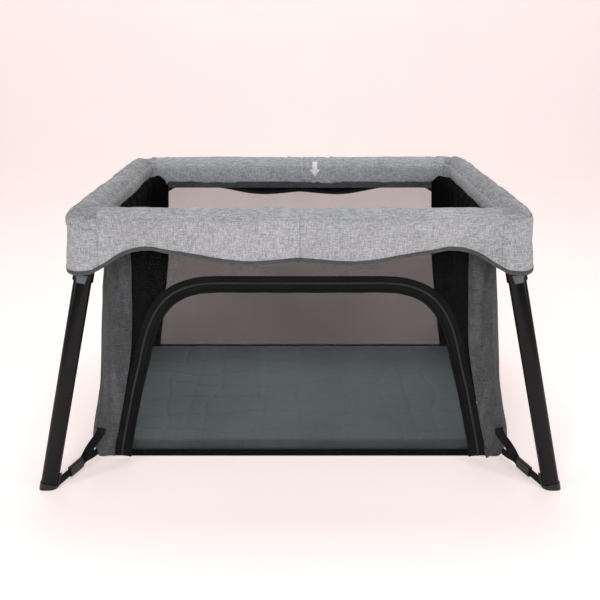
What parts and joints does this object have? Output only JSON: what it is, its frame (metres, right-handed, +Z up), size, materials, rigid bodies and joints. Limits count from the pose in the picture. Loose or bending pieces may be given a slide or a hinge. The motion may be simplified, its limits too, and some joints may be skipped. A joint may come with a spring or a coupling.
{
  "type": "travel playpen",
  "caption": "Fold-up travel playpen: padded oblong top frame on four splayed legs, mesh bag with a zipped arch door and a quilted mattress.",
  "frame": {"origin": "on the floor under the middle of the playpen", "axes": "+X along the length towards the right end seen from the door side, +Y from the door side to the back, +Z up"},
  "size_m": [1.1822, 0.848, 0.618],
  "materials": {
    "frame_tube": "mill-finished tube",
    "rail_fabric": "light grey melange plain weave",
    "panel_fabric": "dark grey melange plain weave",
    "black_plastic": "moulded nylon",
    "grey_plastic": "dark grey moulded nylon",
    "foot_plastic": "satin moulded cap",
    "buckle_plastic": "black acetal",
    "steel": "plain rivet",
    "webbing": "black polypropylene webbing",
    "leg_paint": "black anodised, half gloss",
    "mesh": "black knitted mesh",
    "floor_fabric": "black coated fabric",
    "mattress_fabric": "quilted blue-grey melange",
    "zip_metal": "black lacquered zip slider"
  },
  "bodies": {
    "left_end": {"side_rail_left": "frame_tube", "side_cover_left": "rail_fabric", "corner_bracket_front_left": "black_plastic", "corner_bracket_back_left": "black_plastic", "pivot_pins_left": "steel", "wall_front": "mesh", "wall_back": "mesh", "side_walls": "panel_fabric", "corner_panels": "panel_fabric", "floor_panel": "floor_fabric", "base_pads": "floor_fabric", "bag_straps_left": "webbing", "buckle_sockets_left": "buckle_plastic"},
    "right_end": {"side_rail_right": "frame_tube", "side_cover_right": "rail_fabric", "corner_bracket_front_right": "black_plastic", "corner_bracket_back_right": "black_plastic", "pivot_pins_right": "steel", "bag_straps_right": "webbing", "buckle_sockets_right": "buckle_plastic"},
    "rails_left": {"front_rail_left": "frame_tube", "back_rail_left": "frame_tube", "rail_ends_left": "black_plastic", "rail_covers_left": "rail_fabric"},
    "rails_right": {"front_rail_right": "frame_tube", "back_rail_right": "frame_tube", "rail_ends_right": "black_plastic", "rail_covers_right": "rail_fabric"},
    "centre": {"centre_hinge_front": "black_plastic", "centre_hinge_back": "black_plastic", "hinge_pins": "steel"},
    "button_front": {"release_button_front": "grey_plastic"},
    "button_back": {"release_button_back": "grey_plastic"},
    "door": {"door_panel": "mesh"},
    "slider": {"zip_slider": "zip_metal"},
    "mattress_body": {"mattress": "mattress_fabric"},
    "leg_front_left": {"leg_tube_front_left": "leg_paint", "leg_hinge_front_left": "grey_plastic", "leg_foot_front_left": "foot_plastic", "leg_strap_front_left": "webbing"},
    "plug_front_left": {"buckle_plug_front_left": "buckle_plastic"},
    "leg_back_left": {"leg_tube_back_left": "leg_paint", "leg_hinge_back_left": "grey_plastic", "leg_foot_back_left": "foot_plastic", "leg_strap_back_left": "webbing"},
    "plug_back_left": {"buckle_plug_back_left": "buckle_plastic"},
    "leg_front_right": {"leg_tube_front_right": "leg_paint", "leg_hinge_front_right": "grey_plastic", "leg_foot_front_right": "foot_plastic", "leg_strap_front_right": "webbing"},
    "plug_front_right": {"buckle_plug_front_right": "buckle_plastic"},
    "leg_back_right": {"leg_tube_back_right": "leg_paint", "leg_hinge_back_right": "grey_plastic", "leg_foot_back_right": "foot_plastic", "leg_strap_back_right": "webbing"},
    "plug_back_right": {"buckle_plug_back_right": "buckle_plastic"}
  },
  "joints": [
    {"name": "frame_fold", "type": "hinge", "parent": "left_end", "child": "rails_left", "pos_m": [-0.392, 0, 0.59], "axis": [0, 1, 0], "range_deg": [0, 84], "deforming": ["wall_front", "wall_back", "side_walls", "corner_panels", "floor_panel", "base_pads", "door_panel", "mattress"]},
    {"name": "centre_left_fold", "type": "hinge", "parent": "rails_left", "child": "centre", "pos_m": [-0.055, 0, 0.59], "axis": [0, 1, 0], "range_deg": [-84, 0]},
    {"name": "centre_right_fold", "type": "hinge", "parent": "centre", "child": "rails_right", "pos_m": [0.055, 0, 0.59], "axis": [0, 1, 0], "range_deg": [-84, 0]},
    {"name": "right_end_fold", "type": "hinge", "parent": "rails_right", "child": "right_end", "pos_m": [0.392, 0, 0.59], "axis": [0, 1, 0], "range_deg": [0, 84]},
    {"name": "release_button_front_press", "type": "slide", "parent": "centre", "child": "button_front", "axis": [0, 0, 1], "range_m": [0, 0.004], "stiffness_N_per_m": 400, "springref_m": -0.001},
    {"name": "release_button_back_press", "type": "slide", "parent": "centre", "child": "button_back", "axis": [0, 0, 1], "range_m": [0, 0.004], "stiffness_N_per_m": 400, "springref_m": -0.001},
    {"name": "leg_front_left_fold", "type": "hinge", "parent": "left_end", "child": "leg_front_left", "pos_m": [-0.447, -0.325, 0.54], "axis": [0.9746, 0.0097, -0.2235], "range_deg": [0, 98]},
    {"name": "buckle_front_left_release", "type": "slide", "parent": "leg_front_left", "child": "plug_front_left", "axis": [-0.3536, -0.9354, 0], "range_m": [0, 0.022], "deforming": ["leg_strap_front_left"]},
    {"name": "leg_back_left_fold", "type": "hinge", "parent": "left_end", "child": "leg_back_left", "pos_m": [-0.447, 0.325, 0.498], "axis": [-0.9704, 0.0097, 0.2413], "range_deg": [0, 98]},
    {"name": "buckle_back_left_release", "type": "slide", "parent": "leg_back_left", "child": "plug_back_left", "axis": [-0.3523, 0.9359, 0], "range_m": [0, 0.022], "deforming": ["leg_strap_back_left"]},
    {"name": "leg_front_right_fold", "type": "hinge", "parent": "right_end", "child": "leg_front_right", "pos_m": [0.447, -0.325, 0.54], "axis": [0.9746, -0.0097, 0.2235], "range_deg": [0, 98]},
    {"name": "buckle_front_right_release", "type": "slide", "parent": "leg_front_right", "child": "plug_front_right", "axis": [0.3536, -0.9354, 0], "range_m": [0, 0.022], "deforming": ["leg_strap_front_right"]},
    {"name": "leg_back_right_fold", "type": "hinge", "parent": "right_end", "child": "leg_back_right", "pos_m": [0.447, 0.325, 0.498], "axis": [-0.9704, -0.0097, -0.2413], "range_deg": [0, 98]},
    {"name": "buckle_back_right_release", "type": "slide", "parent": "leg_back_right", "child": "plug_back_right", "axis": [0.3523, 0.9359, 0], "range_m": [0, 0.022], "deforming": ["leg_strap_back_right"]},
    {"name": "door_open", "type": "hinge", "parent": "left_end", "child": "door", "pos_m": [0, -0.29, 0.02], "axis": [1, 0, 0], "range_deg": [0, 88]},
    {"name": "zip_slider_travel", "type": "slide", "parent": "left_end", "child": "slider", "axis": [-0.0499, 0, 0.9988], "range_m": [0, 0.1]},
    {"name": "mattress_lift", "type": "slide", "parent": "left_end", "child": "mattress_body", "axis": [0, 0, 1], "range_m": [0, 0.7]}
  ],
  "couplings": [
    {"joint": "centre_left_fold", "follows": "frame_fold", "ratio": -1},
    {"joint": "centre_right_fold", "follows": "frame_fold", "ratio": -1},
    {"joint": "right_end_fold", "follows": "frame_fold", "ratio": 1}
  ]
}
